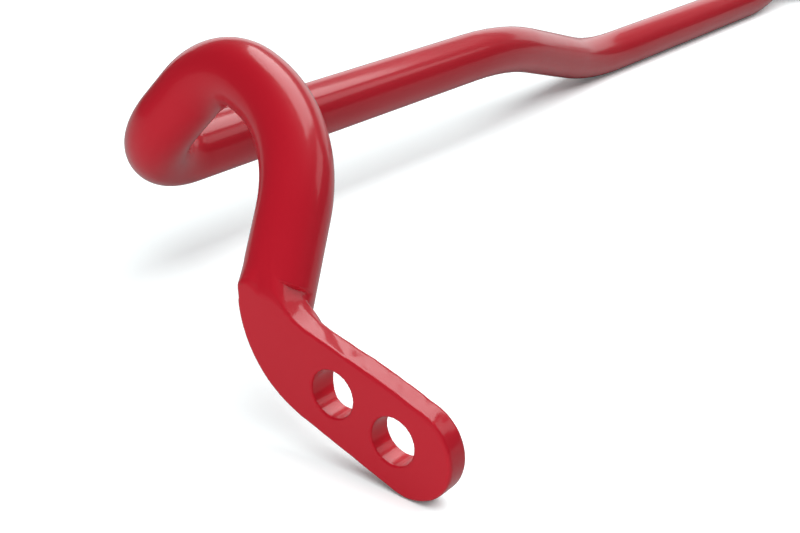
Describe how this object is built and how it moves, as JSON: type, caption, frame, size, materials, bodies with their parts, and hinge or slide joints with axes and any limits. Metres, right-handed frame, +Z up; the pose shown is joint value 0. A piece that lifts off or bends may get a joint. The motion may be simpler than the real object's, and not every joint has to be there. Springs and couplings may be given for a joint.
{
  "type": "sway bar",
  "caption": "Solid round anti-roll bar with arched ends, flat forged link paddles and two pivoting chassis bushing brackets with locating collars.",
  "frame": {"origin": "middle of the assembly's footprint, on the surface it rests on", "axes": "+X along the bar towards its right end, +Y from the link paddles towards the bar's straight middle, +Z up"},
  "size_m": [1.38, 0.1946, 0.0831],
  "materials": {
    "red_powder_coat": "glossy powder coat, signal red",
    "black_urethane": "satin moulded polyurethane",
    "zinc_plated_steel": "bright zinc plate",
    "brass": "plated brass",
    "collar_aluminium": "satin anodised, machined",
    "black_oxide_screw": "black oxide"
  },
  "bodies": {
    "bar": {"bar": "red_powder_coat", "left_collar_upper": "collar_aluminium", "left_collar_lower": "collar_aluminium", "left_collar_screws": "black_oxide_screw", "right_collar_upper": "collar_aluminium", "right_collar_lower": "collar_aluminium", "right_collar_screws": "black_oxide_screw"},
    "left_mount": {"left_bushing": "black_urethane", "left_bracket": "zinc_plated_steel", "left_grease_fitting": "brass", "left_grease_ball": "zinc_plated_steel", "left_grease_spring": "zinc_plated_steel"},
    "right_mount": {"right_bushing": "black_urethane", "right_bracket": "zinc_plated_steel", "right_grease_fitting": "brass", "right_grease_ball": "zinc_plated_steel", "right_grease_spring": "zinc_plated_steel"}
  },
  "joints": [
    {"name": "left_bushing_pivot", "type": "hinge", "parent": "bar", "child": "left_mount", "pos_m": [-0.085, 0.05931, 0.02], "axis": [1, 0, 0], "range_deg": [-27, 27]},
    {"name": "right_bushing_pivot", "type": "hinge", "parent": "bar", "child": "right_mount", "pos_m": [0.085, 0.05931, 0.02], "axis": [1, 0, 0], "range_deg": [-27, 27]}
  ]
}
